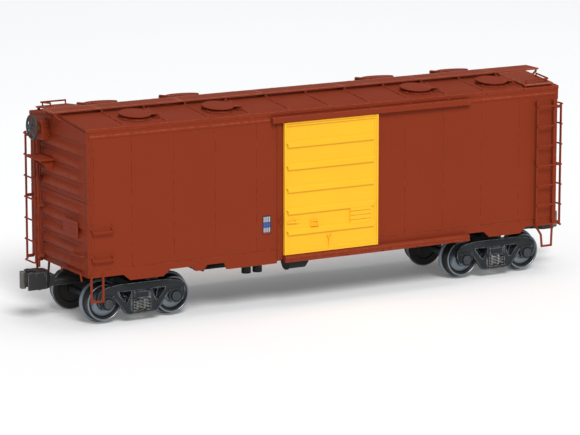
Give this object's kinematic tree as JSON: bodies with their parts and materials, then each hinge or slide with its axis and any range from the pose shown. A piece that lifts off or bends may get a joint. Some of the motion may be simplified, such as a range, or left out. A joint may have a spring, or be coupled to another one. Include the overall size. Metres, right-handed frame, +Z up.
{
  "type": "scale model boxcar with roof hatches",
  "caption": "Model freight boxcar on two sprung trucks, with sliding side doors, round hinged roof hatches, running boards, ladders and knuckle couplers.",
  "frame": {"origin": "middle of the car on the plane of the wheel flanges' lowest points", "axes": "+X along the car away from the hand brake, +Y across it, +Z up"},
  "size_m": [0.2966, 0.0684, 0.099],
  "materials": {
    "body_paint": "satin oxide red paint on moulded plastic",
    "door_paint": "satin warm yellow paint on moulded plastic",
    "underframe_black": "matte black",
    "truck_black": "satin charcoal paint on die cast metal",
    "coupler_black": "satin blackened die cast metal",
    "dark_iron": "dark grey casting",
    "wheel_steel": "machined steel, slightly blue",
    "axle_black": "blackened steel",
    "spring_steel": "dark spring steel"
  },
  "bodies": {
    "carbody": {"floor": "underframe_black", "side_near": "body_paint", "side_far": "body_paint", "end_brake": "body_paint", "end_plain": "body_paint", "roof": "body_paint", "hatch_coamings": "body_paint", "running_board": "body_paint", "board_brackets": "body_paint", "lateral_boards": "body_paint", "side_ladders": "body_paint", "end_ladders": "body_paint", "grab_irons": "body_paint", "sill_steps": "body_paint", "brake_wheel": "dark_iron", "brake_gear": "body_paint", "brake_platform": "body_paint", "retainer_line": "body_paint", "tack_boards": "body_paint", "uncoupling_levers": "body_paint", "upper_tracks": "body_paint", "lower_tracks": "body_paint", "door_posts": "body_paint", "underframe": "underframe_black", "brake_cylinder": "underframe_black", "air_reservoir": "underframe_black", "control_valve": "underframe_black", "brake_rods": "underframe_black"},
    "near_door": {"door_near": "door_paint"},
    "far_door": {"door_far": "door_paint"},
    "lid_1": {"hatch_lid_1": "body_paint"},
    "lid_2": {"hatch_lid_2": "body_paint"},
    "lid_3": {"hatch_lid_3": "body_paint"},
    "lid_4": {"hatch_lid_4": "body_paint"},
    "lid_5": {"hatch_lid_5": "body_paint"},
    "lid_6": {"hatch_lid_6": "body_paint"},
    "lid_7": {"hatch_lid_7": "body_paint"},
    "lid_8": {"hatch_lid_8": "body_paint"},
    "truck_a": {"sideframes_a": "truck_black", "bolster_a": "truck_black", "springs_a": "spring_steel", "brake_beams_a": "truck_black", "coupler_a": "coupler_black"},
    "knuckle_body_a": {"knuckle_a": "coupler_black"},
    "wheelset_a1": {"wheels_a1": "wheel_steel", "axle_a1": "axle_black"},
    "wheelset_a2": {"wheels_a2": "wheel_steel", "axle_a2": "axle_black"},
    "truck_b": {"sideframes_b": "truck_black", "bolster_b": "truck_black", "springs_b": "spring_steel", "brake_beams_b": "truck_black", "coupler_b": "coupler_black"},
    "knuckle_body_b": {"knuckle_b": "coupler_black"},
    "wheelset_b1": {"wheels_b1": "wheel_steel", "axle_b1": "axle_black"},
    "wheelset_b2": {"wheels_b2": "wheel_steel", "axle_b2": "axle_black"}
  },
  "joints": [
    {"name": "near_door_slide", "type": "slide", "parent": "carbody", "child": "near_door", "axis": [1, 0, 0], "range_m": [0, 0.049]},
    {"name": "far_door_slide", "type": "slide", "parent": "carbody", "child": "far_door", "axis": [-1, 0, 0], "range_m": [0, 0.049]},
    {"name": "lid_1_hinge", "type": "hinge", "parent": "carbody", "child": "lid_1", "pos_m": [-0.08812, -0.01777, 0.0969], "axis": [0, 0.995, 0.0995], "range_deg": [0, 105]},
    {"name": "lid_2_hinge", "type": "hinge", "parent": "carbody", "child": "lid_2", "pos_m": [-0.04482, -0.01777, 0.0969], "axis": [0, 0.995, 0.0995], "range_deg": [0, 105]},
    {"name": "lid_3_hinge", "type": "hinge", "parent": "carbody", "child": "lid_3", "pos_m": [0.06342, -0.01777, 0.0969], "axis": [0, 0.995, 0.0995], "range_deg": [0, 105]},
    {"name": "lid_4_hinge", "type": "hinge", "parent": "carbody", "child": "lid_4", "pos_m": [0.10673, -0.01777, 0.0969], "axis": [0, 0.995, 0.0995], "range_deg": [0, 105]},
    {"name": "lid_5_hinge", "type": "hinge", "parent": "carbody", "child": "lid_5", "pos_m": [0.08812, 0.01777, 0.0969], "axis": [0, -0.995, 0.0995], "range_deg": [0, 105]},
    {"name": "lid_6_hinge", "type": "hinge", "parent": "carbody", "child": "lid_6", "pos_m": [0.04482, 0.01777, 0.0969], "axis": [0, -0.995, 0.0995], "range_deg": [0, 105]},
    {"name": "lid_7_hinge", "type": "hinge", "parent": "carbody", "child": "lid_7", "pos_m": [-0.06342, 0.01777, 0.0969], "axis": [0, -0.995, 0.0995], "range_deg": [0, 105]},
    {"name": "lid_8_hinge", "type": "hinge", "parent": "carbody", "child": "lid_8", "pos_m": [-0.10673, 0.01777, 0.0969], "axis": [0, -0.995, 0.0995], "range_deg": [0, 105]},
    {"name": "truck_a_swivel", "type": "hinge", "parent": "carbody", "child": "truck_a", "pos_m": [-0.0978, 0, 0.021], "axis": [0, 0, 1], "range_deg": [-13, 13]},
    {"name": "knuckle_a_hinge", "type": "hinge", "parent": "truck_a", "child": "knuckle_body_a", "pos_m": [-0.143, 0.0039, 0.02025], "axis": [0, 0, -1], "range_deg": [0, 35]},
    {"name": "axle_a1_turn", "type": "hinge", "parent": "truck_a", "child": "wheelset_a1", "pos_m": [-0.11545, 0, 0.0103], "axis": [0, 1, 0], "continuous": true},
    {"name": "axle_a2_turn", "type": "hinge", "parent": "truck_a", "child": "wheelset_a2", "pos_m": [-0.08015, 0, 0.0103], "axis": [0, 1, 0], "continuous": true},
    {"name": "truck_b_swivel", "type": "hinge", "parent": "carbody", "child": "truck_b", "pos_m": [0.0978, 0, 0.021], "axis": [0, 0, 1], "range_deg": [-13, 13]},
    {"name": "knuckle_b_hinge", "type": "hinge", "parent": "truck_b", "child": "knuckle_body_b", "pos_m": [0.143, -0.0039, 0.02025], "axis": [0, 0, -1], "range_deg": [0, 35]},
    {"name": "axle_b1_turn", "type": "hinge", "parent": "truck_b", "child": "wheelset_b1", "pos_m": [0.11545, 0, 0.0103], "axis": [0, 1, 0], "continuous": true},
    {"name": "axle_b2_turn", "type": "hinge", "parent": "truck_b", "child": "wheelset_b2", "pos_m": [0.08015, 0, 0.0103], "axis": [0, 1, 0], "continuous": true}
  ]
}
